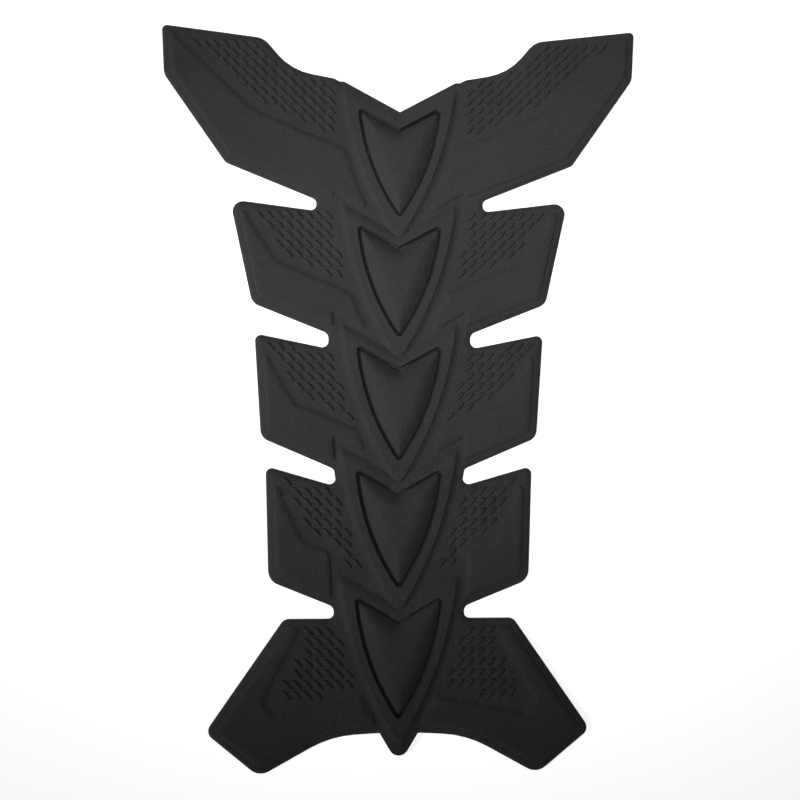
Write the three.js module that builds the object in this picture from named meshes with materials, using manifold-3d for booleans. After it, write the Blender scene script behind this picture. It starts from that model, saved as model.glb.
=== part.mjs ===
// Motorcycle tank pad: a one-piece moulded rubber pad for the rear of a fuel tank.
// Millimetres. The pad lies flat on its back: +Z is its outer face, +Y its upper end.
// Five shield-shaped vertebrae run down the middle, and five wings spread to each side.
import * as THREE from 'three';
import Module from 'manifold-3d';

// The whole pad, seen from the front
const PAD_WIDTH = 139;
const PAD_LENGTH = 211.2;

// Heights above the back of the pad
const EDGE_HEIGHT = 1.2;
const FIELD_HEIGHT = 1.9;
const PANEL_HEIGHT = 2.5;
const PLATE_HEIGHT = 2.8;
const GROOVE_FLOOR = 2.05;
const DOME_HEIGHT = 4.0;
const SCALE_HEIGHT = 0.5;

// Widths of the sloping bands, seen from the front
const RIM_WIDTH = 2.2;
const PANEL_SETBACK = 0.3;
const PANEL_SLOPE = 0.55;
const PLATE_SLOPE = 0.5;
const GROOVE_WIDTH = 0.9;
const DOME_ROLL = 4.5;

// Fillet of a panel's sharp corners, at its tooth and where the crease meets the rim
const PANEL_CORNER = 0.3;

// Vertebrae: their count, the size of plate and dome, and how far the dome stands inside its plate
const VERTEBRAE = 5;
const NOTCH_SLOPE = 0.556;
const PLATE_HALF_WIDTH = 16;
const PLATE_BULGE = 2.7;
const PLATE_CORNER = 1.5;
const PLATE_TIP = 1.2;
const DOME_HALF_WIDTH = 11.7;
const DOME_BULGE = 2.25;
const DOME_BELOW_NOTCH = 3.6;
const DOME_ABOVE_TIP = 5.6;
const PLATE_LAP = 0.9;
const NOTCH_TO_PLATE = 1.9;
const NOSE_TO_PLATE = 5.0;
const DOME_CORNER = 1.3;
const DOME_TIP = 1.1;
const SHIELD_SIDE_STEPS = 5;
const SHIELD_NOTCH_STEPS = 2;
const SHIELD_CORNER_FACETS = 3;
const DOME_RINGS = [0.2, 0.67];

// Grip scales: a square lattice of small leaning hips
const SCALE_PITCH = 2.8;
const SCALE_WIDTH = 2.2;
const SCALE_LENGTH = 2.3;
const SCALE_LEAN = 1.9;
const SCALE_RIDGE = 0.6;
const SCALE_SINK = 0.2;
const SCALE_EDGE_MARGIN = 1.75;
const SCALE_CREASE_MARGIN = 2.7;
const SCALE_PLATE_MARGIN = 3.6;

// Facets of a fillet: the widest turn and the longest chord that one facet takes
const ARC_TURN = THREE.MathUtils.degToRad(30);
const ARC_CHORD = 5;
const SMALLEST_RADIUS = 0.25;

// A corner of an outline, with the radius of its fillet
const corner = (x, y, radius = 0) => ({ x, y, radius });

// The outlines are drawn in hundredths: across from the middle line to the widest place, and up
// from the lowest place to the highest
const across = (share) => (share * PAD_WIDTH) / 200;
const up = (share) => (share * PAD_LENGTH) / 100;
const place = (x, y, radius) => corner(across(x), up(y), radius);

// Outline of the right half, from the nose below the spine to the notch above it
const nose = place(0, 2.08, 2.5);
const noseRoot = place(7.34, 5.21, 0.9);
const arch = place(26.33, 4.88, 60);
const footTip = place(53.81, 0, 4.5);
const shoulderTop = place(57.27, 98.25, 6);
const shoulderBend = place(45.61, 93.66, 20);
const shoulderRoot = place(27.63, 92.57, 3);
const notch = place(0, 87.5, 2.5);

// The round end of a slot between two wings, from its lower to its upper corner
const slotEnd = (x, bottom, top, radius) => [place(x, bottom, radius), place(x, top, radius)];

// Wings from the shoulder to the foot: "edge" holds the outer corners from below to above,
// "slot" the end of the slot underneath, "creaseTop" the height where the raised panel's upper
// edge leaves the outer edge, "crease" the corners of that upper edge on its way to the spine,
// "hook" the panel's lower edge from the spine to the top of its tooth, "toothX" the foot of
// that tooth, and "grain" the middle of one scale of the grip pattern.
const wings = [
  {
    edge: [place(72.37, 80.54, 3), place(98.56, 92.9, 5), place(100, 100, 1.4)],
    slot: slotEnd(34.53, 73.77, 75.43, 1.9),
    creaseTop: up(98.67),
    crease: [place(84.89, 95.17, 10), place(69.78, 90.34, 10), place(60.43, 87.59, 8),
      place(37.41, 84.19, 10), place(22.88, 82.29, 1.5)],
    hook: [place(13.96, 73.82, 0.6), place(27.91, 76.66, 0.4)],
    toothX: across(27.63),
    grain: [across(29.06), up(89.2)],
  },
  {
    edge: [place(60.14, 61.08, 3.5), place(70.07, 75.28, 3)],
    slot: slotEnd(28.92, 54.88, 56.96, 2.3),
    creaseTop: up(74),
    crease: [place(50.36, 66.57, 8), place(28.78, 63.54, 8), place(19.57, 62.12, 1.2)],
    hook: [place(13.96, 57.29, 0.6), place(28.06, 60.18, 0.4)],
    toothX: across(26.91),
    grain: [across(29.5), up(70.41)],
  },
  {
    edge: [place(55.54, 42.99, 3.5), place(58.85, 56.91, 1.7)],
    slot: slotEnd(25.54, 36.6, 38.78, 2.3),
    creaseTop: up(53.98),
    crease: [place(42.01, 47.35, 3), place(28.78, 45.55, 8), place(17.27, 44.03, 1.2)],
    hook: [place(14.1, 40.96, 0.6), place(26.91, 43.51, 0.4)],
    toothX: across(26.04),
    grain: [across(28.2), up(51.09)],
  },
  {
    edge: [place(51.58, 24.43, 4.2), place(53.45, 39.25, 1.6)],
    slot: slotEnd(25.76, 19.53, 21.07, 1.9),
    creaseTop: up(36.9),
    crease: [place(38.13, 29.4, 4)],
    hook: [place(27.77, 27.84, 0.5)],
    toothX: across(26.76),
    grain: [across(28.78), up(33.29)],
  },
  {
    edge: [place(74.96, 5.49, 2.4), place(45.32, 19.53, 2.6)],
    crease: [place(38.85, 18.28, 0.8), place(53.24, 9.47, 1.5), place(48.92, 7.48, 1.5),
      place(34.53, 8.52, 6), place(14.82, 9.8, 1.2)],
    hook: [place(9.21, 6.34, 0.6)],
    grain: [across(31.65), up(14.06)],
  },
];

const wasm = await Module();
wasm.setup();

const minus = (a, b) => new THREE.Vector2(a.x - b.x, a.y - b.y);
const mirrored = (corners) => corners.map((c) => ({ ...c, x: -c.x })).reverse();

// The directions into and out of a corner of a closed outline that runs anticlockwise
function directions(corners, i) {
  const before = minus(corners[i], corners.at(i - 1)).normalize();
  const after = minus(corners[(i + 1) % corners.length], corners[i]).normalize();
  return { before, after, turn: Math.atan2(before.cross(after), before.dot(after)) };
}

// Gives each fillet its number of facets, which its inset copies keep
function faceted(corners) {
  return corners.map((c, i) => {
    const turn = Math.abs(directions(corners, i).turn);
    const facets = Math.max(turn / ARC_TURN, (turn * c.radius) / ARC_CHORD);
    return { ...c, steps: c.radius > 0 ? Math.max(1, Math.ceil(facets)) : 0 };
  });
}

// Moves every edge of an outline inwards, and keeps its fillets concentric
function inset(corners, distance) {
  return corners.map((c, i) => {
    const { before, after, turn } = directions(corners, i);
    const shift = distance / (1 + before.dot(after));
    const x = c.x - (before.y + after.y) * shift;
    const y = c.y + (before.x + after.x) * shift;
    const radius = Math.max(SMALLEST_RADIUS, c.radius - Math.sign(turn) * distance);
    return { ...c, x, y, radius: c.steps ? radius : 0 };
  });
}

// The points of an outline with its fillets, each limited by the two edges beside it
function rounded(corners) {
  return corners.flatMap((c, i) => {
    if (!c.steps) return [new THREE.Vector2(c.x, c.y)];
    const { before, after, turn } = directions(corners, i);
    const room = Math.min(
      minus(c, corners.at(i - 1)).length(),
      minus(corners[(i + 1) % corners.length], c).length(),
    ) * 0.49;
    const bend = Math.tan(Math.abs(turn) / 2);
    const radius = Math.min(c.radius, room / bend);
    const side = Math.sign(turn);
    const start = new THREE.Vector2(c.x, c.y).addScaledVector(before, -radius * bend);
    const centre = start.clone().add(new THREE.Vector2(-before.y, before.x).multiplyScalar(side * radius));
    return Array.from({ length: c.steps + 1 }, (_, k) => (
      start.clone().rotateAround(centre, (turn * k) / c.steps)
    ));
  });
}

// A closed body through rings with equal counts of points, each ring a list of Vector3
function loft(rings) {
  const count = rings[0].length;
  const index = [];
  for (let ring = 0; ring + 1 < rings.length; ring++) {
    for (let i = 0; i < count; i++) {
      const a = ring * count + i;
      const b = ring * count + ((i + 1) % count);
      index.push(a, b, b + count, a, b + count, a + count);
    }
  }
  const top = (rings.length - 1) * count;
  for (const [a, b, c] of THREE.ShapeUtils.triangulateShape(rings[0], [])) {
    index.push(a, c, b);
  }
  for (const [a, b, c] of THREE.ShapeUtils.triangulateShape(rings.at(-1), [])) {
    index.push(top + a, top + b, top + c);
  }
  const geometry = new THREE.BufferGeometry().setFromPoints(rings.flat());
  return geometry.setIndex(index);
}

const lifted = (points, z) => points.map((p) => new THREE.Vector3(p.x, p.y, z));
const ring = (corners, distance, z) => lifted(rounded(inset(corners, distance)), z);

function solid(geometry) {
  const vertProperties = Float32Array.from(geometry.getAttribute('position').array);
  const triVerts = Uint32Array.from(geometry.index.array);
  return new wasm.Manifold(new wasm.Mesh({ numProp: 3, vertProperties, triVerts }));
}

// The radius of the widest disc inside an outline that touches it at one of its points
function discRadius(points, i, inward) {
  let radius = Infinity;
  for (const other of points) {
    const reach = minus(other, points[i]);
    const depth = reach.dot(inward);
    if (depth > 1e-6) radius = Math.min(radius, reach.lengthSq() / (2 * depth));
  }
  return radius;
}

// The pillow of a dome: rings at shares of the local disc, raised by a quarter-ellipse roll
function pillowRings(points, base, crown) {
  const count = points.length;
  const spokes = points.map((point, i) => {
    const along = minus(points[(i + 1) % count], points.at(i - 1)).normalize();
    const inward = new THREE.Vector2(-along.y, along.x);
    return { point, inward, radius: discRadius(points, i, inward) };
  });
  return DOME_RINGS.map((share) => spokes.map(({ point, inward, radius }) => {
    const distance = share * radius;
    const roll = 1 - Math.min(1, distance / DOME_ROLL);
    const z = base + (crown - base) * Math.sqrt(1 - roll * roll);
    const place = point.clone().addScaledVector(inward, distance);
    return new THREE.Vector3(place.x, place.y, z);
  }));
}

// A shield: a V on top, two bowed sides and a tip below, symmetric about x = 0
function shield({ notchY, tipY, halfWidth, bulge, cornerRadius, tipRadius }) {
  const shoulder = new THREE.Vector2(halfWidth, notchY + NOTCH_SLOPE * halfWidth);
  const tip = new THREE.Vector2(0, tipY);
  const chord = shoulder.clone().sub(tip);
  const outward = new THREE.Vector2(chord.y, -chord.x).normalize();
  const side = [];
  for (let k = 1; k < SHIELD_SIDE_STEPS; k++) {
    const t = k / SHIELD_SIDE_STEPS;
    const bow = 4 * bulge * t * (1 - t);
    const point = tip.clone().addScaledVector(chord, t).addScaledVector(outward, bow);
    side.push(corner(point.x, point.y));
  }
  side.push(corner(shoulder.x, shoulder.y, cornerRadius));
  for (let k = SHIELD_NOTCH_STEPS - 1; k > 0; k--) {
    const x = (halfWidth * k) / SHIELD_NOTCH_STEPS;
    side.push(corner(x, notchY + NOTCH_SLOPE * x));
  }
  const corners = [corner(0, tipY, tipRadius), ...side, corner(0, notchY, 1), ...mirrored(side)];
  return corners.map((c) => ({ ...c, steps: c.radius > 0 ? SHIELD_CORNER_FACETS : 0 }));
}

// Outline of the whole pad
const rightHalf = [nose, noseRoot, arch, footTip];
for (let row = wings.length - 1; row > 0; row--) {
  rightHalf.push(...wings[row].edge, ...wings[row - 1].slot);
}
rightHalf.push(...wings[0].edge, shoulderTop, shoulderBend, shoulderRoot, notch);
const outline = faceted([...rightHalf, ...mirrored(rightHalf.slice(1, -1))]);
const panelEdge = inset(outline, RIM_WIDTH + PANEL_SETBACK);
const panelEdgeOf = (c) => panelEdge[rightHalf.indexOf(c)];

const body = solid(loft([
  ring(outline, 0, 0),
  ring(outline, 0, EDGE_HEIGHT),
  ring(outline, RIM_WIDTH, FIELD_HEIGHT),
]));

// The lowest ring of a raised part carries its slope on into the body below the field
const rootOf = (height) => 2 * FIELD_HEIGHT - height;

// Vertebrae share the spine evenly, and each plate's tip laps over the V of the next
const spineTop = notch.y - NOTCH_TO_PLATE;
const pitch = (spineTop - nose.y - NOSE_TO_PLATE) / VERTEBRAE;

function vertebra(row) {
  const notchY = spineTop - row * pitch;
  const plate = shield({
    notchY,
    tipY: notchY - pitch - PLATE_LAP,
    halfWidth: PLATE_HALF_WIDTH,
    bulge: PLATE_BULGE,
    cornerRadius: PLATE_CORNER,
    tipRadius: PLATE_TIP,
  });
  const dome = shield({
    notchY: notchY - DOME_BELOW_NOTCH,
    tipY: notchY - pitch + DOME_ABOVE_TIP,
    halfWidth: DOME_HALF_WIDTH,
    bulge: DOME_BULGE,
    cornerRadius: DOME_CORNER,
    tipRadius: DOME_TIP,
  });
  const lip = GROOVE_WIDTH / 2;
  const rings = [
    ring(plate, -PLATE_SLOPE, rootOf(PLATE_HEIGHT)),
    ring(plate, PLATE_SLOPE, PLATE_HEIGHT),
    ring(dome, -lip, PLATE_HEIGHT),
    ring(dome, 0, GROOVE_FLOOR),
    ring(dome, lip, PLATE_HEIGHT),
    ...pillowRings(rounded(inset(dome, lip)), PLATE_HEIGHT, DOME_HEIGHT),
  ];
  return { plate, solid: solid(loft(rings)) };
}

// The raised panel of a wing on the right, bounded by the rim outside and the crease inside
function panelOutline(wing) {
  const edge = wing.edge.map(panelEdgeOf);
  const below = [arch, footTip].map(panelEdgeOf);
  if (wing.slot) {
    const slot = panelEdgeOf(wing.slot[1]);
    const rise = (edge[0].y - slot.y) / (edge[0].x - slot.x);
    below.splice(0, 2, corner(wing.toothX, slot.y + (wing.toothX - slot.x) * rise, PANEL_CORNER));
    const [lower, upper] = edge.slice(-2);
    const share = (wing.creaseTop - lower.y) / (upper.y - lower.y);
    edge[edge.length - 1] = corner(lower.x + (upper.x - lower.x) * share, wing.creaseTop, PANEL_CORNER);
  }
  return faceted([...wing.hook, ...below, ...edge, ...wing.crease]);
}

const panelGeometry = (corners) => loft([
  ring(corners, -PANEL_SLOPE, rootOf(PANEL_HEIGHT)),
  ring(corners, PANEL_SLOPE, PANEL_HEIGHT),
]);

// The distance from a point to an outline, below zero inside it
function clearance(points, x, y) {
  const place = new THREE.Vector3(x, y, 0);
  const closest = new THREE.Vector3();
  let distance = Infinity;
  let inside = false;
  points.forEach((a, i) => {
    const b = points[(i + 1) % points.length];
    const edge = new THREE.Line3(new THREE.Vector3(a.x, a.y), new THREE.Vector3(b.x, b.y));
    edge.closestPointToPoint(place, true, closest);
    distance = Math.min(distance, closest.distanceTo(place));
    const crosses = (a.y > y) !== (b.y > y) && x < a.x + ((y - a.y) / (b.y - a.y)) * (b.x - a.x);
    if (crosses) inside = !inside;
  });
  return inside ? -distance : distance;
}

// One scale: a hip with a leaning foot, sunk a little into the field, and a short ridge
function scalePoints(x, y) {
  const half = SCALE_WIDTH / 2;
  const end = SCALE_LENGTH / 2;
  const lean = SCALE_LEAN / 2;
  const foot = [[-half - lean, -end], [half - lean, -end], [half + lean, end], [-half + lean, end]];
  const ridge = [[-lean, -end], [lean, end]].map(([dx, dy]) => [dx * SCALE_RIDGE, dy * SCALE_RIDGE]);
  return [
    ...foot.map(([dx, dy]) => new THREE.Vector3(x + dx, y + dy, FIELD_HEIGHT - SCALE_SINK)),
    ...ridge.map(([dx, dy]) => new THREE.Vector3(x + dx, y + dy, FIELD_HEIGHT + SCALE_HEIGHT)),
  ];
}
const SCALE_FACES = [0, 3, 2, 0, 2, 1, 0, 1, 4, 1, 2, 5, 1, 5, 4, 2, 3, 5, 3, 0, 4, 3, 4, 5];

// Lattice places around a given one, between two bounds
function latticePlaces(through, from, to) {
  const first = Math.ceil((from - through) / SCALE_PITCH);
  const last = Math.floor((to - through) / SCALE_PITCH);
  return Array.from({ length: last - first + 1 }, (_, k) => through + (first + k) * SCALE_PITCH);
}

// The middles of the scales of one wing: the lattice points between the slots above and below
// it that stand clear of all edges
function scaleMiddles(wing, row, panelPoints) {
  const [grainX, grainY] = wing.grain;
  const tip = wing.edge.at(-1);
  const above = row > 0 ? wings[row - 1].slot[0] : tip;
  const [below, belowTop] = wing.slot ?? [footTip, footTip];
  const middles = [];
  for (const y of latticePlaces(grainY, below.y, Math.min(tip.y, shoulderTop.y))) {
    for (const x of latticePlaces(grainX, 0, tip.x)) {
      const clear = (x > above.x || y < above.y)
        && (x < below.x || y > belowTop.y)
        && clearance(outlinePoints, x, y) < -SCALE_EDGE_MARGIN
        && clearance(panelPoints, x, y) > SCALE_CREASE_MARGIN
        && platePoints.every((points) => clearance(points, x, y) > SCALE_PLATE_MARGIN);
      if (clear) middles.push([x, y]);
    }
  }
  return middles;
}

function mirroredGeometry(geometry) {
  const copy = geometry.clone().scale(-1, 1, 1);
  copy.index.array.reverse();
  return copy;
}

// The pad: body, panels, vertebrae and scales joined into one solid
const outlinePoints = rounded(outline);
const vertebrae = Array.from({ length: VERTEBRAE }, (_, row) => vertebra(row));
const platePoints = vertebrae.map(({ plate }) => rounded(plate));
const scaleCorners = [];
let pad = body;
wings.forEach((wing, row) => {
  const corners = panelOutline(wing);
  const geometry = panelGeometry(corners);
  pad = pad.add(solid(geometry)).add(solid(mirroredGeometry(geometry)));
  for (const [x, y] of scaleMiddles(wing, row, rounded(corners))) {
    scaleCorners.push(...scalePoints(x, y));
  }
});
const scales = new THREE.BufferGeometry().setFromPoints(scaleCorners);
const scaleIndex = [];
for (let first = 0; first < scaleCorners.length; first += 6) {
  scaleIndex.push(...SCALE_FACES.map((i) => first + i));
}
scales.setIndex(scaleIndex);
pad = pad.add(solid(scales)).add(solid(mirroredGeometry(scales)));
for (const { solid: plateAndDome } of vertebrae) pad = pad.add(plateAndDome);

const { vertProperties, triVerts } = pad.getMesh();
const geometry = new THREE.BufferGeometry();
geometry.setAttribute('position', new THREE.BufferAttribute(vertProperties, 3));
geometry.setIndex(new THREE.BufferAttribute(triVerts, 1));
geometry.computeBoundingBox();
const middle = geometry.boundingBox.getCenter(new THREE.Vector3());
geometry.translate(-middle.x, -middle.y, 0);
geometry.computeVertexNormals();

const rubber = new THREE.MeshStandardMaterial({ color: 0x303132, roughness: 0.85, metalness: 0 });
const tankPad = new THREE.Mesh(geometry, rubber);
tankPad.name = 'tank_pad';

const model = new THREE.Group();
model.add(tankPad);
export default model;
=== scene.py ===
# %% [markdown]
# # A moulded rubber tank pad
#
# A tank pad is one sheet of soft black rubber that is stuck on the rear of a motorcycle's fuel
# tank. Everything on it comes out of one mould: a flat back, a thin rim all round, raised
# panels on its wings, five shield-shaped vertebrae down the middle, and patches of small
# leaning scales that grip the rider's jacket. The lesson builds that relief as real geometry
# and then gives it the dull, slightly dusty look of moulded rubber.

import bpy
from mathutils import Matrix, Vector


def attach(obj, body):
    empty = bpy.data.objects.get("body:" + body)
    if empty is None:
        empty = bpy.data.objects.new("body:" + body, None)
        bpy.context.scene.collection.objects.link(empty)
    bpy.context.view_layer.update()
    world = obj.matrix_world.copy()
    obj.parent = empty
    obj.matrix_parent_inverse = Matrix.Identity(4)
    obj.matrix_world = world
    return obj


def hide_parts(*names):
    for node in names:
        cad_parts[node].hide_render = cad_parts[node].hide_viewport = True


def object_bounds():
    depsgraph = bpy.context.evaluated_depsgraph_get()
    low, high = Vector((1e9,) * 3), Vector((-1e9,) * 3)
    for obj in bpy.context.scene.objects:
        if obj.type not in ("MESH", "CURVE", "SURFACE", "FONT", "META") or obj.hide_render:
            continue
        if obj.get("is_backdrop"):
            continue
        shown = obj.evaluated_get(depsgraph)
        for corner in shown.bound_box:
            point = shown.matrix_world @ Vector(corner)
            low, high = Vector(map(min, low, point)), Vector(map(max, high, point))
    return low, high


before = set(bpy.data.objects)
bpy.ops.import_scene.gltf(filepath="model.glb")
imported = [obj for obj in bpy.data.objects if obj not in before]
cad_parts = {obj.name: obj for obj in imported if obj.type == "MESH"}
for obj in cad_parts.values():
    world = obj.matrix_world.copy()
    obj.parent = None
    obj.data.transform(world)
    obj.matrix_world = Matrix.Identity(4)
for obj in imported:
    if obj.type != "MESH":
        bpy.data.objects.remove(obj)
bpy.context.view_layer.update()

# %% [markdown]
# ## Plan outlines
#
# Seen from the front the pad is an outline with many corners, and each corner has its own
# fillet. A corner is kept as (x, y, radius), which is how a mould maker would draw it, and the
# points of the arcs are worked out from that. Moving every edge of such an outline inwards
# gives the parallel lines of a rim or a groove. The pad is symmetric, so only its right half
# is drawn. Lengths are in millimetres until a mesh is made.

# %% Outlines with filleted corners
import math

import bmesh
import bpy
import numpy as np
from mathutils import Vector
from mathutils.geometry import delaunay_2d_cdt
from mathutils.kdtree import KDTree

MM = 0.001
ARC_TURN = math.radians(12)
LEAST_TURN, LEAST_RADIUS = 1e-3, 0.25
FILLET_SHARE = 0.49


def turned_left(v):
    """The vectors turned by a quarter, which for an anticlockwise outline point inwards."""
    return np.stack([-v[..., 1], v[..., 0]], -1)


def cross(a, b):
    return a[..., 0] * b[..., 1] - a[..., 1] * b[..., 0]


def edge_directions(places):
    """Unit vectors from each point of a closed outline to the next."""
    run = np.roll(places, -1, 0) - places
    return run / np.linalg.norm(run, axis=1)[:, None]


def inset(corners, distance):
    """Moves each edge of a closed outline inwards by its own distance, fillets included."""
    corners = np.array(corners, float)
    after = edge_directions(corners[:, :2])
    before = np.roll(after, 1, 0)
    move_after = np.broadcast_to(np.asarray(distance, float), len(corners))
    move_before = np.roll(move_after, 1)
    turn = cross(before, after)
    straight = np.abs(turn) < LEAST_TURN
    mitre = after * move_before[:, None] - before * move_after[:, None]
    mitre /= np.where(straight, 1, turn)[:, None]
    parallel = turned_left(before) * move_before[:, None]
    corners[:, :2] += np.where(straight[:, None], parallel, mitre)
    shrink = np.sign(turn) * (move_before + move_after) / 2
    fillet = np.maximum(LEAST_RADIUS, corners[:, 2] - shrink)
    corners[:, 2] = np.where(corners[:, 2] > 0, fillet, 0)
    return corners


def rounded(corners):
    """The points of a closed outline with its fillets, and the corner that each belongs to."""
    corners = np.asarray(corners, float)
    places = corners[:, :2]
    after = edge_directions(places)
    length = np.linalg.norm(np.roll(places, -1, 0) - places, axis=1)
    points, owners = [], []
    for i, (x, y, radius) in enumerate(corners):
        into, out = after[i - 1], after[i]
        turn = math.atan2(cross(into, out), into @ out)
        bend = math.tan(abs(turn) / 2)
        if radius > 0 and bend > 1e-6:
            radius = min(radius, FILLET_SHARE * min(length[i - 1], length[i]) / bend)
            steps = math.ceil(abs(turn) / ARC_TURN)
            steps += steps % 2
            start = places[i] - into * radius * bend
            centre = start + turned_left(into) * math.copysign(radius, turn)
            for k in range(steps + 1):
                c, s = math.cos(turn * k / steps), math.sin(turn * k / steps)
                dx, dy = start - centre
                points.append((centre[0] + c * dx - s * dy, centre[1] + s * dx + c * dy))
                owners.append(i)
        else:
            points.append((x, y))
            owners.append(i)
    return np.array(points), np.array(owners)


def closed(points):
    return np.vstack([points, points[:1]])


def right_half(points):
    """The half at x >= 0 of a symmetric outline that starts at its lowest point."""
    kept = points[points[:, 0] > -1e-6].copy()
    kept[:, 0] = np.maximum(kept[:, 0], 0)
    kept[[0, -1], 0] = 0
    return kept


def spaced(line, step):
    """The same line with points no further apart than step."""
    out = []
    for a, b in zip(line[:-1], line[1:]):
        count = max(1, math.ceil(np.linalg.norm(b - a) / step))
        out.extend(a + (b - a) * k / count for k in range(count))
    out.append(line[-1])
    return np.array(out)


# %% The pad's outline and its wings
PAD_WIDTH, PAD_LENGTH = 139.0, 211.2


def across(share):
    return share * PAD_WIDTH / 200


def up(share):
    return share * PAD_LENGTH / 100


def place(x, y, radius):
    """A corner given in hundredths of the half width and of the length."""
    return (across(x), up(y), radius)


nose, nose_root = place(0, 2.08, 2.5), place(7.34, 5.21, 0.9)
arch, foot_tip = place(26.33, 4.88, 60), place(53.81, 0, 4.5)
shoulder = [place(57.27, 98.25, 6), place(45.61, 93.66, 20), place(27.63, 92.57, 3)]
notch = place(0, 87.5, 2.5)

# From the shoulder to the foot: outer corners, the end of the slot below, where the crease
# leaves the outer edge, the crease's corners, the hook below, the tooth and one scale's middle
WINGS = [
    dict(
        edge=[place(72.37, 80.54, 3), place(98.56, 92.9, 5), place(100, 100, 1.4)],
        slot=[place(34.53, 73.77, 1.9), place(34.53, 75.43, 1.9)],
        crease_top=up(98.67),
        crease=[place(84.89, 95.17, 10), place(69.78, 90.34, 10), place(60.43, 87.59, 8),
                place(37.41, 84.19, 10), place(22.88, 82.29, 1.5)],
        hook=[place(13.96, 73.82, 0.6), place(27.91, 76.66, 0.4)],
        tooth=across(27.63),
        grain=(across(29.06), up(89.2)),
    ),
    dict(
        edge=[place(60.14, 61.08, 3.5), place(70.07, 75.28, 3)],
        slot=[place(28.92, 54.88, 2.3), place(28.92, 56.96, 2.3)],
        crease_top=up(74),
        crease=[place(50.36, 66.57, 8), place(28.78, 63.54, 8), place(19.57, 62.12, 1.2)],
        hook=[place(13.96, 57.29, 0.6), place(28.06, 60.18, 0.4)],
        tooth=across(26.91),
        grain=(across(29.5), up(70.41)),
    ),
    dict(
        edge=[place(55.54, 42.99, 3.5), place(58.85, 56.91, 1.7)],
        slot=[place(25.54, 36.6, 2.3), place(25.54, 38.78, 2.3)],
        crease_top=up(53.98),
        crease=[place(42.01, 47.35, 3), place(28.78, 45.55, 8), place(17.27, 44.03, 1.2)],
        hook=[place(14.1, 40.96, 0.6), place(26.91, 43.51, 0.4)],
        tooth=across(26.04),
        grain=(across(28.2), up(51.09)),
    ),
    dict(
        edge=[place(51.58, 24.43, 4.2), place(53.45, 39.25, 1.6)],
        slot=[place(25.76, 19.53, 1.9), place(25.76, 21.07, 1.9)],
        crease_top=up(36.9),
        crease=[place(38.13, 29.4, 4)],
        hook=[place(27.77, 27.84, 0.5)],
        tooth=across(26.76),
        grain=(across(28.78), up(33.29)),
    ),
    dict(
        edge=[place(74.96, 5.49, 2.4), place(45.32, 19.53, 2.6)],
        crease=[place(38.85, 18.28, 0.8), place(53.24, 9.47, 1.5), place(48.92, 7.48, 1.5),
                place(34.53, 8.52, 6), place(14.82, 9.8, 1.2)],
        hook=[place(9.21, 6.34, 0.6)],
        grain=(across(31.65), up(14.06)),
    ),
]

right_side = [nose, nose_root, arch, foot_tip]
for row in range(len(WINGS) - 1, 0, -1):
    right_side += WINGS[row]["edge"] + WINGS[row - 1]["slot"]
right_side += WINGS[0]["edge"] + shoulder + [notch]
left_side = [(-x, y, radius) for x, y, radius in reversed(right_side[1:-1])]
outline = np.array(right_side + left_side)

# The frame's origin is the middle of the outline's box
lowest, highest = rounded(outline)[0].min(0), rounded(outline)[0].max(0)
MIDDLE = (lowest[1] + highest[1]) / 2
print("outline", np.round(highest - lowest, 2), "mm, middle at", round(MIDDLE, 2))

# %% [markdown]
# ## A mesh from lines and heights
#
# The face of the pad is a relief: over each point of the plan it has one height. Such a
# surface can be made as a triangulated sheet whose edges follow the lines of the mould, so
# that grooves and steps stay crisp, with a fine even grid of points between them. Each point
# is then raised by a rule of height, a side wall is added round the outline, and a flat back
# closes the solid. Only the right half is made, and it is mirrored.

# %% Distances in the plan
def distance(points, line):
    """Distance from each point to an open line."""
    nearest = np.full(len(points), np.inf)
    for a, b in zip(line[:-1], line[1:]):
        run = b - a
        along = np.clip((points - a) @ run / max(run @ run, 1e-12), 0, 1)
        offset = points - a - along[:, None] * run
        nearest = np.minimum(nearest, np.hypot(offset[:, 0], offset[:, 1]))
    return nearest


def inside(points, outline_points):
    """True where a point lies inside a closed outline."""
    x, y = points[:, 0], points[:, 1]
    result = np.zeros(len(points), bool)
    for a, b in zip(outline_points, np.roll(outline_points, -1, 0)):
        if a[1] != b[1]:
            at = a[0] + (y - a[1]) / (b[1] - a[1]) * (b[0] - a[0])
            result ^= ((a[1] > y) != (b[1] > y)) & (x < at)
    return result


# %% The relief builder
GUIDE_GAP, FILL_GAP = 0.45, 0.62
CUT_TOLERANCE, DOUBLES_WITHIN = 1e-4, 1e-7


def hex_points(low, high, step):
    """Points of an even triangular grid in a box, clear of x = 0."""
    rise = step * math.sqrt(3) / 2
    ys = np.arange(low[1], high[1], rise)
    xs = np.arange(step / 2, high[0] + step, step)
    grid = [(x + step / 2 * (j % 2), y) for j, y in enumerate(ys) for x in xs]
    return np.array(grid)


def clear_of(points, taken, gap):
    """The points that stand further than gap from all the taken ones."""
    tree = KDTree(len(taken))
    for i, (x, y) in enumerate(taken):
        tree.insert((x, y, 0), i)
    tree.balance()
    return np.array([p for p in points if tree.find((p[0], p[1], 0))[2] > gap])


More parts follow.
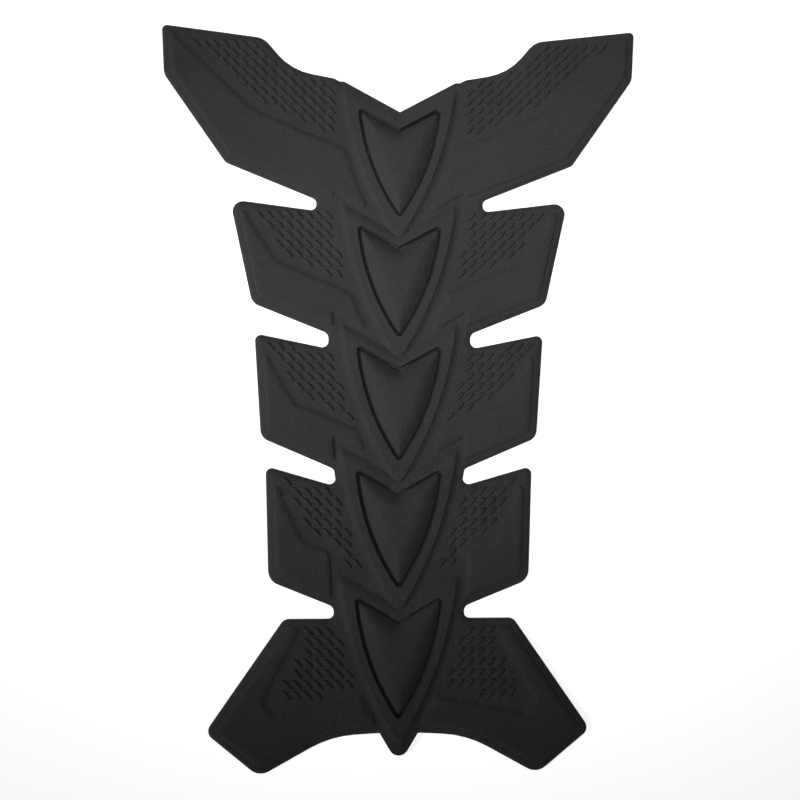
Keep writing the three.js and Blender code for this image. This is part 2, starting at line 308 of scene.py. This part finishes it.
def half_solid(border, lines, guides, height, step, back):
    """A closed solid on the right half: border is the open outline from bottom to top, lines
    are kept as edges, guides are loose points, and height gives z for the plan points."""
    border = spaced(border, step)
    axis = spaced(np.array([border[-1], border[0]]), step)[1:-1]
    rim = np.vstack([border, axis])
    edges = [(i, (i + 1) % len(rim)) for i in range(len(rim))]
    taken = [rim]
    count = len(rim)
    for line in lines:
        line = spaced(line, step)
        edges += [(count + i, count + i + 1) for i in range(len(line) - 1)]
        taken.append(line)
        count += len(line)
    kept = np.vstack(taken)
    for loose in guides:
        loose = loose[inside(loose, rim)]
        kept = np.vstack([kept, clear_of(loose, kept, GUIDE_GAP * step)])
    fill = hex_points(rim.min(0), rim.max(0), step)
    fill = fill[inside(fill, rim)]
    kept = np.vstack([kept, clear_of(fill, kept, FILL_GAP * step)])
    cut = delaunay_2d_cdt([Vector(p) for p in kept], edges, [], 1, CUT_TOLERANCE)
    top = np.array([tuple(v) for v in cut[0]])
    new_place = {old: new for new, olds in enumerate(cut[3]) for old in olds}
    wall = [new_place[i] for i in range(len(border))]
    middles = np.array([top[list(f)].mean(0) for f in cut[2]])
    faces = [f for f, keep in zip(cut[2], inside(middles, rim)) if keep]
    rim_edges = edges[: len(rim)]
    under = delaunay_2d_cdt([Vector(p) for p in rim], rim_edges, [], 1, CUT_TOLERANCE)
    base = len(top)
    bottom_place = {old: base + new for new, olds in enumerate(under[3]) for old in olds}
    plan = np.vstack([top, [tuple(v) for v in under[0]]])
    z = np.concatenate([height(top), np.full(len(under[0]), back)])
    faces += [tuple(base + i for i in reversed(f)) for f in under[2]]
    low = [bottom_place[i] for i in range(len(border))]
    for i in range(len(border) - 1):
        faces.append((low[i], low[i + 1], wall[i + 1], wall[i]))
    return np.column_stack([plan, z]), faces


def mirrored_object(name, points, faces):
    """A mesh object of the half solid and its mirror image, in metres, with doubles merged."""
    points = points - [0, MIDDLE, 0]
    both = np.vstack([points, points * [-1, 1, 1]]) * MM
    other = [tuple(len(points) + i for i in reversed(f)) for f in faces]
    mesh = bpy.data.meshes.new(name)
    mesh.from_pydata(both.tolist(), [], list(faces) + other)
    work = bmesh.new()
    work.from_mesh(mesh)
    bmesh.ops.remove_doubles(work, verts=work.verts, dist=DOUBLES_WITHIN)
    bmesh.ops.recalc_face_normals(work, faces=work.faces)
    loose = sum(not e.is_manifold for e in work.edges)
    print(name, len(work.faces), "faces,", loose, "open edges")
    work.to_mesh(mesh)
    work.free()
    obj = bpy.data.objects.new(name, mesh)
    bpy.context.scene.collection.objects.link(obj)
    return obj


def finish_shading(obj, degrees=40):
    """Smooth shading that breaks at edges sharper than the angle."""
    obj.data.shade_smooth()
    obj.data.set_sharp_from_angle(angle=math.radians(degrees))


def bulge(share):
    """Rises from 0 to 1, steep at first and level at the end."""
    return 1 - (1 - np.clip(share, 0, 1)) ** 2


def ease(share):
    """Rises from 0 to 1, level at both ends."""
    share = np.clip(share, 0, 1)
    return share * share * (3 - 2 * share)


# %% [markdown]
# ## The body and its panels
#
# The body is 1.9 mm thick and thins to a rim of 1.2 mm. On each wing a panel stands about
# half a millimetre proud of it. Along the rim and at the hooks the panel ends in a narrow
# step, and along its upper edge it eases into the field in a soft crease, over which the light
# rolls off slowly. Both are one rule: the height rises with the distance from the panel's foot,
# quickly from a step and slowly from a crease.

# %% Heights of the body
EDGE_HEIGHT, FIELD_HEIGHT, PANEL_HEIGHT = 1.2, 1.9, 2.5
RIM_WIDTH, PANEL_SETBACK, PANEL_CORNER = 2.2, 0.3, 0.3
EDGE_ROUND = 0.35
STEP_WIDTH, CREASE_WIDTH = 1.0, 1.9

outline_points, _ = rounded(outline)
outline_loop = closed(outline_points)
panel_edge = inset(outline, RIM_WIDTH + PANEL_SETBACK)


def panel_edge_of(corner):
    return tuple(panel_edge[right_side.index(corner)])


def panel_corners(wing):
    """The panel of a wing, from the hook round the rim and back along the crease, with the
    numbers of the corners where the crease starts."""
    edge = [panel_edge_of(c) for c in wing["edge"]]
    if "slot" in wing:
        slot = panel_edge_of(wing["slot"][1])
        rise = (edge[0][1] - slot[1]) / (edge[0][0] - slot[0])
        below = [(wing["tooth"], slot[1] + (wing["tooth"] - slot[0]) * rise, PANEL_CORNER)]
        lower, upper = edge[-2:]
        share = (wing["crease_top"] - lower[1]) / (upper[1] - lower[1])
        edge[-1] = (lower[0] + (upper[0] - lower[0]) * share, wing["crease_top"], PANEL_CORNER)
    else:
        below = [panel_edge_of(arch), panel_edge_of(foot_tip)]
    before_crease = len(wing["hook"]) + len(below) + len(edge)
    return np.array(wing["hook"] + below + edge + wing["crease"]), before_crease - 1


panels = []
for wing in WINGS:
    corners, crease_start = panel_corners(wing)
    outset = np.full(len(corners), -STEP_WIDTH / 2)
    outset[crease_start:] = -CREASE_WIDTH / 2
    foot, owner = rounded(inset(corners, outset))
    crease = np.vstack([foot[owner >= crease_start], foot[owner == 0]])
    step_line = foot[owner <= crease_start]
    panels.append(dict(corners=corners, outset=outset, foot=foot, crease=crease, step=step_line))
longest = max(len(p["crease"]) for p in panels)
print(len(panels), "panels, the longest crease has", longest, "points")


def body_height(points):
    edge = distance(points, outline_loop)
    z = EDGE_HEIGHT + (FIELD_HEIGHT - EDGE_HEIGHT) * bulge(edge / RIM_WIDTH)
    rounding = np.clip(edge / EDGE_ROUND, 0, 1)
    z -= EDGE_ROUND * (1 - np.sqrt(1 - (1 - rounding) ** 2))
    for panel in panels:
        near = np.flatnonzero(inside(points, panel["foot"]))
        some = points[near]
        crease, step = distance(some, panel["crease"]), distance(some, panel["step"])
        narrowed = np.minimum(CREASE_WIDTH, np.maximum((crease + step) / 2, STEP_WIDTH))
        rise = ease(crease / narrowed) * bulge(step / STEP_WIDTH)
        z[near] += (PANEL_HEIGHT - FIELD_HEIGHT) * rise
    return z


# %% Build the body
BODY_STEP, GUIDE_STEP = 0.85, 0.595
GUIDE_SHARES = (1, 0.25, 0.5, 0.75)
EDGE_LINES = (0.05, 0.16, EDGE_ROUND, 0.9, 1.5, RIM_WIDTH)
border = right_half(outline_points)
body_lines, body_guides = [], []
for panel in panels:
    body_lines.append(closed(panel["foot"]))
    on_step = panel["outset"] > -CREASE_WIDTH / 2
    slope_width = np.where(on_step, STEP_WIDTH, CREASE_WIDTH)
    for share in GUIDE_SHARES:
        part = inset(panel["corners"], panel["outset"] + share * slope_width)
        body_guides.append(spaced(closed(rounded(part)[0]), GUIDE_STEP))
for depth in EDGE_LINES:
    body_lines.append(right_half(rounded(inset(outline, depth))[0]))
pad = mirrored_object("tank_pad_body", *half_solid(
    border, body_lines, body_guides, body_height, BODY_STEP, 0.0))
finish_shading(pad)

# %% [markdown]
# ## The vertebrae
#
# Each vertebra is a shield-shaped plate with a black groove that runs round a pillow. The five
# are alike and stand one pitch apart, so one is modelled and Geometry Nodes set it down five
# times. The pillow's height grows with the distance from its three edges. A plain distance
# would leave a ridge where two edges are equally near, so the three distances are blended.
# The pillow first rises straight from the groove and then rounds off until it is level.

# %% One vertebra
VERTEBRAE = 5
PLATE_HEIGHT, GROOVE_FLOOR, DOME_HEIGHT = 2.8, 1.25, 4.0
NOTCH_SLOPE, NOTCH_RADIUS = 0.556, 1
SIDE_POINTS = 13
PLATE_HALF_WIDTH, PLATE_BULGE, PLATE_CORNER, PLATE_TIP = 16, 2.7, 1.5, 1.2
DOME_HALF_WIDTH, DOME_BULGE, DOME_CORNER, DOME_TIP = 11.7, 2.25, 1.3, 1.1
DOME_BELOW_NOTCH, DOME_ABOVE_TIP = 3.6, 5.6
PLATE_LAP, NOTCH_TO_PLATE, NOSE_TO_PLATE = 0.9, 1.9, 5.0
GROOVE_WIDTH = 0.95
DOME_ROLL, DOME_EDGE, DOME_STRAIGHT, BLEND_POWER = 5.0, 2.0, 0.25, 3.0
PLATE_EASE = 4.2
PLATE_FOOT, PLATE_BEVEL, PLATE_BEVEL_DROP = 1.5, 0.25, 0.06
SKIRT_WIDTH, SKIRT_DECAY, SKIRT_SINK = 3.0, 0.7, 0.25
VERTEBRA_BACK = 1.0

spine_top = notch[1] - NOTCH_TO_PLATE
pitch = (spine_top - nose[1] - NOSE_TO_PLATE) / VERTEBRAE


def shield(notch_y, tip_y, half_width, bow, corner_radius, tip_radius):
    """A shield with a V on top, two bowed sides and a tip below, from the tip anticlockwise."""
    tip = np.array([0.0, tip_y])
    corner = np.array([half_width, notch_y + NOTCH_SLOPE * half_width])
    chord = corner - tip
    outward = np.array([chord[1], -chord[0]]) / np.linalg.norm(chord)
    side = []
    for t in np.linspace(0, 1, SIDE_POINTS)[1:-1]:
        x, y = tip + chord * t + outward * 4 * bow * t * (1 - t)
        side.append((x, y, 0))
    side.append((*corner, corner_radius))
    other = [(-x, y, radius) for x, y, radius in reversed(side)]
    return np.array([(0, tip_y, tip_radius), *side, (0, notch_y, NOTCH_RADIUS), *other])


plate = shield(spine_top, spine_top - pitch - PLATE_LAP, PLATE_HALF_WIDTH, PLATE_BULGE,
               PLATE_CORNER, PLATE_TIP)
dome = shield(spine_top - DOME_BELOW_NOTCH, spine_top - pitch + DOME_ABOVE_TIP,
              DOME_HALF_WIDTH, DOME_BULGE, DOME_CORNER, DOME_TIP)
v_edges = np.zeros(len(plate), bool)
v_edges[len(plate) // 2 - 1 : len(plate) // 2 + 1] = True


def plate_ring(side_outset, v_outset):
    """The plate's outline moved outwards, by one distance at the sides and one at the V."""
    return rounded(inset(plate, np.where(v_edges, -v_outset, -side_outset)))[0]


plate_foot = plate_ring(SKIRT_WIDTH, PLATE_EASE / 2)


def v_and_sides(points):
    """The V line and the two side lines of a shield, each ending at the shoulders."""
    right = right_half(points)
    peak = int(right[:, 1].argmax())
    side, top = right[: peak + 1], right[peak:]
    flip = np.array([-1, 1])
    return np.vstack([top, (top * flip)[::-1][1:]]), side, side * flip


foot_v = v_and_sides(plate_foot)[0]
plate_line = plate_ring(0, 0)
plate_right, plate_left = v_and_sides(plate_line)[1:]
lip = rounded(inset(dome, GROOVE_WIDTH / 2))[0]
lip_lines = v_and_sides(lip)
dome_line = rounded(dome)[0]
dome_loop = closed(dome_line)


def vertebra_height(points):
    on_plate = inside(points, plate_ring(0, PLATE_EASE))
    sides = np.minimum(distance(points, plate_right), distance(points, plate_left))
    skirt = FIELD_HEIGHT + (PLATE_HEIGHT - FIELD_HEIGHT) * np.exp(-sides / SKIRT_DECAY)
    skirt -= SKIRT_SINK * (sides / SKIRT_WIDTH) ** 2
    bevel = PLATE_HEIGHT - PLATE_BEVEL_DROP * (1 - bulge(sides / PLATE_BEVEL))
    climb = ease(distance(points, foot_v) / PLATE_EASE)
    slope = PLATE_FOOT + (PLATE_HEIGHT - PLATE_FOOT) * climb
    z = np.minimum(np.where(on_plate, bevel, skirt), slope)
    groove = np.clip(distance(points, dome_loop) / (GROOVE_WIDTH / 2), 0, 1)
    wall = np.where(inside(points, dome_line), DOME_EDGE, PLATE_HEIGHT) - GROOVE_FLOOR
    z = np.where(groove < 1, GROOVE_FLOOR + wall * groove**2, z)
    on_dome = inside(points, lip)
    near = [np.maximum(distance(points, line), 1e-6) for line in lip_lines]
    blended = sum(d**-BLEND_POWER for d in near) ** (-1 / BLEND_POWER)
    flat = np.clip(blended / DOME_ROLL, 0, 1)
    swell = flat - np.maximum(flat - DOME_STRAIGHT, 0) ** 2 / (2 * (1 - DOME_STRAIGHT))
    swell /= (1 + DOME_STRAIGHT) / 2
    return np.where(on_dome, DOME_EDGE + (DOME_HEIGHT - DOME_EDGE) * swell, z)


# %% Build one vertebra
VERTEBRA_STEP = 0.6
RING_OUTSETS = [
    (-PLATE_BEVEL, -2.1), (0, -1.2), (0.3, -0.4), (0.75, 0.4), (1.4, 1.1), (2.2, 1.6)]
GROOVE_LINES, DOME_LINES = (-1, -0.6, 0, 0.6, 1), (0.15, 0.45, 0.9, 1.5)
vertebra_lines = [right_half(plate_ring(*outsets)) for outsets in RING_OUTSETS]
for offset in GROOVE_LINES:
    vertebra_lines.append(right_half(rounded(inset(dome, offset * GROOVE_WIDTH / 2))[0]))
for depth in DOME_LINES:
    vertebra_lines.append(right_half(rounded(inset(dome, GROOVE_WIDTH / 2 + depth))[0]))
vertebra = mirrored_object("vertebra", *half_solid(
    right_half(plate_foot), vertebra_lines, [], vertebra_height, VERTEBRA_STEP, VERTEBRA_BACK))

# %% [markdown]
# ## Room for the grooves
#
# The groove round a pillow reaches deeper than the pad's field, so the field is sunk below
# every dome. The plates cover the edge of each hollow.

# %% Sink the field below the domes
HOLLOW_OUTSET, HOLLOW_DEPTH = 1.1, 0.95
hollow = rounded(inset(dome, -HOLLOW_OUTSET))[0]
places = np.empty(3 * len(pad.data.vertices))
pad.data.vertices.foreach_get("co", places)
places = places.reshape(-1, 3)
sunk = np.zeros(len(places), bool)
for k in range(VERTEBRAE):
    sunk |= inside(places[:, :2] / MM + [0, MIDDLE], hollow - [0, k * pitch])
sunk &= places[:, 2] > HOLLOW_DEPTH * MM
places[sunk, 2] -= HOLLOW_DEPTH * MM
pad.data.vertices.foreach_set("co", places.ravel())
pad.data.update()
print(int(sunk.sum()), "points of the field sunk below the domes")

# %% [markdown]
# ## Node trees written as expressions
#
# Both the shape trees and the material need many small nodes. A wrapper for one socket makes
# arithmetic readable: adding, subtracting or multiplying wrapped values adds the Math node for
# it, also when a plain number stands on the left. Every other node comes from one method that
# takes the node's type, its settings and what goes into its sockets.

# %% A socket that does arithmetic
class Value:
    """One output socket of a node tree."""

    def __init__(self, graph, socket):
        self.graph, self.socket = graph, socket

    def math(self, operation, *others):
        return self.graph.node("ShaderNodeMath", dict(operation=operation), [self, *others])[0]

    def __add__(self, other):
        return self.math("ADD", other)

    def __sub__(self, other):
        return self.math("SUBTRACT", other)

    def __mul__(self, other):
        return self.math("MULTIPLY", other)

    def __rsub__(self, other):
        return self.graph.node("ShaderNodeMath", dict(operation="SUBTRACT"), [other, self])[0]

    __radd__, __rmul__ = __add__, __mul__


class Graph:
    """A node tree with one method that adds any node."""

    def __init__(self, tree):
        self.tree = tree

    def node(self, kind, settings=None, inputs=()):
        """Adds a node and returns its outputs. Inputs are a list in socket order, or a dict."""
        made = self.tree.nodes.new(kind)
        for name, value in (settings or {}).items():
            setattr(made, name, value)
        pairs = inputs.items() if isinstance(inputs, dict) else enumerate(inputs)
        for key, value in pairs:
            socket = made.inputs[key]
            if isinstance(value, Value):
                self.tree.links.new(value.socket, socket)
            elif value is not None:
                socket.default_value = value
        return [Value(self, socket) for socket in made.outputs]


# %% [markdown]
# ## Setting down the vertebrae
#
# The tree lays one point for each vertebra down the spine and puts the modelled one on each
# point. Its inputs are the count and the pitch, so a longer pad would only need other numbers.
# Instances are realised at the end, because only real geometry can be exported, and the result
# is kept as a plain mesh.

# %% Repeat along the spine
def shape_tree(name, sockets):
    """A geometry tree with the named inputs and one geometry output."""
    tree = bpy.data.node_groups.new(name, "GeometryNodeTree")
    tree.interface.new_socket("Geometry", in_out="INPUT", socket_type="NodeSocketGeometry")
    for label, kind in sockets.items():
        tree.interface.new_socket(label, in_out="INPUT", socket_type=kind)
    tree.interface.new_socket("Geometry", in_out="OUTPUT", socket_type="NodeSocketGeometry")
    graph = Graph(tree)
    given = dict(zip(["Geometry", *sockets], graph.node("NodeGroupInput")))
    return graph, given


def plain_mesh(obj, tree, values):
    """Runs the tree on the object once and keeps its result as the object's own mesh."""
    modifier = obj.modifiers.new(tree.name, "NODES")
    modifier.node_group = tree
    for item in tree.interface.items_tree:
        if item.in_out == "INPUT" and item.name in values:
            modifier[item.identifier] = values[item.name]
    made = obj.evaluated_get(bpy.context.evaluated_depsgraph_get())
    mesh = bpy.data.meshes.new_from_object(made)
    obj.modifiers.remove(modifier)
    obj.data = mesh
    print(obj.name, len(mesh.polygons), "faces after", tree.name)


rubber = bpy.data.materials.new("moulded_rubber")

graph, given = shape_tree("spine_of_vertebrae", {
    "Count": "NodeSocketInt", "Pitch": "NodeSocketFloat", "Material": "NodeSocketMaterial"})
down = graph.node("ShaderNodeCombineXYZ", None, [0.0, given["Pitch"] * -1.0, 0.0])[0]
points = graph.node("GeometryNodeMeshLine", None, {"Count": given["Count"], "Offset": down})[0]
placed = graph.node("GeometryNodeInstanceOnPoints", None, {
    "Points": points, "Instance": given["Geometry"]})[0]
real = graph.node("GeometryNodeRealizeInstances", None, [placed])[0]
finished = graph.node("GeometryNodeSetMaterial", None, {
    "Geometry": real, "Material": given["Material"]})[0]
graph.node("NodeGroupOutput", None, [finished])
plain_mesh(vertebra, graph.tree, {"Count": VERTEBRAE, "Pitch": pitch * MM, "Material": rubber})
vertebra.name = "vertebrae"
finish_shading(vertebra)

# %% [markdown]
# ## The grip scales
#
# The scales are leaning lozenges on a square lattice. They fill the field above each panel
# and keep clear of the rim, the crease and the plates, so the patch takes its outline from the
# pieces around it and nobody has to draw it. The lattice places are worked out first, one scale
# is modelled with few faces, and a tree sets it on each place and mirrors the lot, so that the
# scales lean the other way on the left.

# %% Where the scales stand
SCALE_PITCH, SCALE_WIDTH, SCALE_LENGTH, SCALE_LEAN = 2.8, 2.1, 2.6, 2.1
SCALE_HEIGHT, SCALE_SINK = 0.5, 0.2
SCALE_EDGE_MARGIN, SCALE_CREASE_MARGIN, SCALE_PLATE_MARGIN = 1.75, 2.7, 3.6
LATTICE_COLUMNS, LATTICE_ROWS = np.arange(-10, 25), np.arange(-25, 25)

plate_points = rounded(plate)[0]
middles = []
for row, wing in enumerate(WINGS):
    tip = wing["edge"][-1]
    above = WINGS[row - 1]["slot"][0] if row else tip
    below, below_top = wing.get("slot", [foot_tip, foot_tip])
    top = min(tip[1], shoulder[0][1])
    grain_x, grain_y = wing["grain"]
    xs = grain_x + SCALE_PITCH * LATTICE_COLUMNS
    ys = grain_y + SCALE_PITCH * LATTICE_ROWS
    ys = [y for y in ys if below[1] <= y <= top]
    spots = np.array([(x, y) for y in ys for x in xs if 0 < x <= tip[0]])
    spots = spots[(spots[:, 0] > above[0]) | (spots[:, 1] < above[1])]
    spots = spots[(spots[:, 0] < below[0]) | (spots[:, 1] > below_top[1])]
    spots = spots[inside(spots, outline_points)]
    panel_points = rounded(panels[row]["corners"])[0]
    clear = distance(spots, outline_loop) > SCALE_EDGE_MARGIN
    clear &= ~inside(spots, panel_points)
    clear &= distance(spots, closed(panel_points)) > SCALE_CREASE_MARGIN
    for k in range(VERTEBRAE):
        shifted = plate_points - [0, k * pitch]
        clear &= ~inside(spots, shifted)
        clear &= distance(spots, closed(shifted)) > SCALE_PLATE_MARGIN
    middles.append(spots[clear])
middles = np.vstack(middles)
print(len(middles), "scales on the right half")


# %% One scale and the patch
SCALE_SIDES, SCALE_SQUARENESS = 8, 0.6
SCALE_LEAST_STRETCH, SCALE_SEED, SCALE_SHARP_ANGLE = 0.96, 7, 70
SCALE_RINGS = [
    (1, 1, -SCALE_SINK), (0.97, 0.98, 0.04), (0.58, 0.88, 0.34), (0.12, 0.7, SCALE_HEIGHT)]


def scale_mesh():
    """A leaning lozenge with rounded corners and a soft top, around the origin."""
    work = bmesh.new()
    rings = []
    for width, length, z in SCALE_RINGS:
        ring = []
        for k in range(SCALE_SIDES):
            angle = 2 * math.pi * (k + 0.5) / SCALE_SIDES
            c, s = math.cos(angle), math.sin(angle)
            x = math.copysign(abs(c) ** SCALE_SQUARENESS, c) * SCALE_WIDTH / 2 * width
            y = math.copysign(abs(s) ** SCALE_SQUARENESS, s) * SCALE_LENGTH / 2 * length
            x += y / SCALE_LENGTH * SCALE_LEAN
            ring.append(work.verts.new((x * MM, y * MM, (FIELD_HEIGHT + z) * MM)))
        rings.append(ring)
    for low, high in zip(rings[:-1], rings[1:]):
        for k in range(SCALE_SIDES):
            n = (k + 1) % SCALE_SIDES
            work.faces.new((low[k], low[n], high[n], high[k]))
    work.faces.new(list(reversed(rings[0])))
    work.faces.new(rings[-1])
    mesh = bpy.data.meshes.new("one_scale")
    work.to_mesh(mesh)
    work.free()
    return mesh


one_scale = bpy.data.objects.new("one_scale", scale_mesh())
lattice = bpy.data.meshes.new("grip_scales")
lattice.from_pydata([(x * MM, (y - MIDDLE) * MM, 0) for x, y in middles], [], [])
scales = bpy.data.objects.new("grip_scales", lattice)
for obj in (one_scale, scales):
    bpy.context.scene.collection.objects.link(obj)

graph, given = shape_tree("patches_of_scales", {
    "Scale": "NodeSocketObject", "Least Height": "NodeSocketFloat", "Seed": "NodeSocketInt",
    "Material": "NodeSocketMaterial"})
shape = graph.node("GeometryNodeObjectInfo", None, {"Object": given["Scale"]})[4]
height = graph.node("FunctionNodeRandomValue", dict(data_type="FLOAT"), {
    2: given["Least Height"], 3: 1.0, 8: given["Seed"]})[1]
stretch = graph.node("ShaderNodeCombineXYZ", None, [1.0, 1.0, height])[0]
right = graph.node("GeometryNodeInstanceOnPoints", None, {
    "Points": given["Geometry"], "Instance": shape, "Scale": stretch})[0]
right = graph.node("GeometryNodeRealizeInstances", None, [right])[0]
left = graph.node("GeometryNodeTransform", None, {
    "Geometry": right, "Scale": (-1.0, 1.0, 1.0)})[0]
left = graph.node("GeometryNodeFlipFaces", None, [left])[0]
both = graph.node("GeometryNodeJoinGeometry")
join = graph.tree.nodes["Join Geometry"]
for half in (right, left):
    graph.tree.links.new(half.socket, join.inputs[0])
finished = graph.node("GeometryNodeSetMaterial", None, {
    "Geometry": both[0], "Material": given["Material"]})[0]
graph.node("NodeGroupOutput", None, [finished])
plain_mesh(scales, graph.tree, {
    "Scale": one_scale, "Least Height": SCALE_LEAST_STRETCH, "Seed": SCALE_SEED,
    "Material": rubber})
bpy.data.objects.remove(one_scale)
finish_shading(scales, SCALE_SHARP_ANGLE)

# %% [markdown]
# ## Moulded rubber
#
# The rubber is a dull black that is never quite even: the mould leaves a fine grain, the
# colour wanders a little from patch to patch, and a few specks of pale dust stick to it. All
# of it reads Object coordinates, so the finish stays in place from any side and on every piece.

# %% The rubber material
RUBBER_COLOUR, DUST_COLOUR = (0.039, 0.04, 0.041), (0.3, 0.3, 0.28, 1.0)
CLOUD, MOTTLE, GRAIN = (60.0, 3.0), (1100.0, 4.0), (3400.0, 2.0)
TONE, CLOUD_TONE, MOTTLE_TONE = 0.52, 0.4, 0.56
ROUGHNESS, CLOUD_ROUGHNESS, SPECULAR = 0.62, 0.12, 0.2
BUMP_DEPTH, MOTTLE_BUMP = 0.00016, 1.5
DUST_SCALE, DUST_SIZE, DUST_RARITY, DUST_COVER = 55.0, 0.018, 0.93, 0.5


def rubber_finish(material):
    material.use_nodes = True
    tree = material.node_tree
    tree.nodes.clear()
    graph = Graph(tree)
    where = graph.node("ShaderNodeTexCoord")[3]

    def noise(scale, detail):
        return graph.node("ShaderNodeTexNoise", None, {
            "Vector": where, "Scale": scale, "Detail": detail})[0]

    cloud, mottle, grain = noise(*CLOUD), noise(*MOTTLE), noise(*GRAIN)
    tone = TONE + CLOUD_TONE * cloud + MOTTLE_TONE * mottle
    colour = graph.node("ShaderNodeVectorMath", dict(operation="SCALE"), {
        0: RUBBER_COLOUR, "Scale": tone})[0]
    cells = graph.node("ShaderNodeTexVoronoi", None, {"Vector": where, "Scale": DUST_SCALE})
    chance = graph.node("ShaderNodeSeparateColor", None, [cells[1]])[0]
    speck = cells[0].math("LESS_THAN", DUST_SIZE) * chance.math("GREATER_THAN", DUST_RARITY)
    dusty = graph.node("ShaderNodeMix", dict(data_type="RGBA"), {
        0: speck * DUST_COVER, 6: colour, 7: DUST_COLOUR})[2]
    bump = graph.node("ShaderNodeBump", None, {
        "Strength": 1.0, "Distance": BUMP_DEPTH, "Height": grain + mottle * MOTTLE_BUMP})[0]
    shader = graph.node("ShaderNodeBsdfPrincipled", None, {
        "Base Color": dusty, "Roughness": ROUGHNESS + CLOUD_ROUGHNESS * cloud, "Normal": bump,
        "Specular IOR Level": SPECULAR})[0]
    graph.node("ShaderNodeOutputMaterial", None, [shader])


rubber_finish(rubber)
pad.data.materials.append(rubber)
print("rubber has", len(rubber.node_tree.nodes), "nodes")

# %% [markdown]
# ## Putting the pieces on the frame
#
# The three meshes together stand for the one solid of the frame, whose own part is hidden. They
# ride on its only body.

# %% Ride and replace
for piece in (pad, vertebra, scales):
    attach(piece, "root")
    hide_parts("tank_pad")

# %% [markdown]
# ## Studio
#
# Two spot lamps with soft edges light the pad: one from the lower left, so that slopes on the
# left catch it and slopes on the right fall off, and one almost overhead. They were set by trial
# until the pad's brightness followed the photograph's, so how the real light stood is a guess.
# Their narrow cones light the upper half most and fade towards the foot. The world adds a little
# even light. The table glows to the camera on top of what the lamps give it, so it shows as
# white, and most of the pad's shadow is lost in that white.

# %% Table, light and camera
TABLE_TOP, TABLE_GLOW, TABLE_COLOUR = -0.0002, 0.8, (0.8, 0.8, 0.8, 1.0)
BACKDROP_SIDES = 64
BACKDROP_RINGS = [(2.4, 0), (2.7, 0.03), (2.9, 0.1), (3.0, 0.22), (3.02, 0.55)]
SPOT_RADIUS, WORLD_LIGHT = 0.12, 0.02


def white_table():
    """A round table top with a low swept wall. From low angles the world shows above the wall."""
    rings = []
    for radius, height in BACKDROP_RINGS:
        turns = [2 * math.pi * k / BACKDROP_SIDES for k in range(BACKDROP_SIDES)]
        rings += [(radius * math.cos(a), radius * math.sin(a), TABLE_TOP + height) for a in turns]
    faces = [list(range(BACKDROP_SIDES))]
    for start in range(0, len(rings) - BACKDROP_SIDES, BACKDROP_SIDES):
        for k in range(BACKDROP_SIDES):
            low, high = start + k, start + (k + 1) % BACKDROP_SIDES
            faces.append((high, low, low + BACKDROP_SIDES, high + BACKDROP_SIDES))
    mesh = bpy.data.meshes.new("table")
    mesh.from_pydata(rings, [], faces)
    mesh.shade_smooth()
    table = bpy.data.objects.new("table", mesh)
    bpy.context.scene.collection.objects.link(table)
    material = bpy.data.materials.new("table_white")
    material.use_nodes = True
    material.node_tree.nodes.clear()
    graph = Graph(material.node_tree)
    light_path = graph.node("ShaderNodeLightPath")
    to_camera, glossy, transmitted = light_path[0], light_path[3], light_path[6]
    seen = to_camera.math("MAXIMUM", glossy).math("MAXIMUM", transmitted)
    paper = graph.node("ShaderNodeBsdfDiffuse", None, {"Color": TABLE_COLOUR})[0]
    glow = graph.node("ShaderNodeEmission", None, {"Strength": seen * TABLE_GLOW})[0]
    both = graph.node("ShaderNodeAddShader", None, [paper, glow])[0]
    graph.node("ShaderNodeOutputMaterial", None, [both])
    mesh.materials.append(material)
    return table


white_table()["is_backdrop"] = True


def soft_spot(name, aim, azimuth, height, away, cone, power):
    """A soft spot lamp aimed at a point of the pad, its light fading towards the cone's rim."""
    lamp = bpy.data.lights.new(name, "SPOT")
    lamp.spot_size, lamp.spot_blend = math.radians(cone), 1.0
    lamp.shadow_soft_size, lamp.energy = SPOT_RADIUS, power
    around, rise = math.radians(azimuth), math.radians(height)
    flat = math.cos(rise) * away
    obj = bpy.data.objects.new(name, lamp)
    obj.location = Vector(aim) + Vector(
        (flat * math.cos(around), flat * math.sin(around), math.sin(rise) * away))
    obj.rotation_euler = (Vector(aim) - obj.location).to_track_quat("-Z", "Y").to_euler()
    bpy.context.scene.collection.objects.link(obj)


soft_spot("lower_left", (0.034, 0.052, 0), 197, 36, 1.0, 22, 27.5)
soft_spot("overhead", (0.013, 0.06, 0), 270, 88, 0.9, 16.5, 29.0)

world = bpy.data.worlds.new("studio")
world.use_nodes = True
world.node_tree.nodes["Background"].inputs["Color"].default_value = (1, 1, 1, 1)
world.node_tree.nodes["Background"].inputs["Strength"].default_value = WORLD_LIGHT
scene = bpy.context.scene
scene.world = world
scene.view_settings.view_transform = "Standard"

lens = bpy.data.cameras.new("camera")
lens.lens, lens.sensor_width = 40.0, 36.0
camera = bpy.data.objects.new("camera", lens)
lens.shift_x, lens.shift_y = -0.0267, -0.029
camera.location = (-0.0028, -0.02448, 0.25047)
camera.rotation_euler = [math.radians(a) for a in (6.065, -2.061, -0.043)]
scene.collection.objects.link(camera)
scene.camera = camera

# %% Sizes and the end
visual_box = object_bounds()
pad_low, pad_high = [[round(v, 4) for v in corner] for corner in visual_box]
print("pad from", pad_low, "to", pad_high)
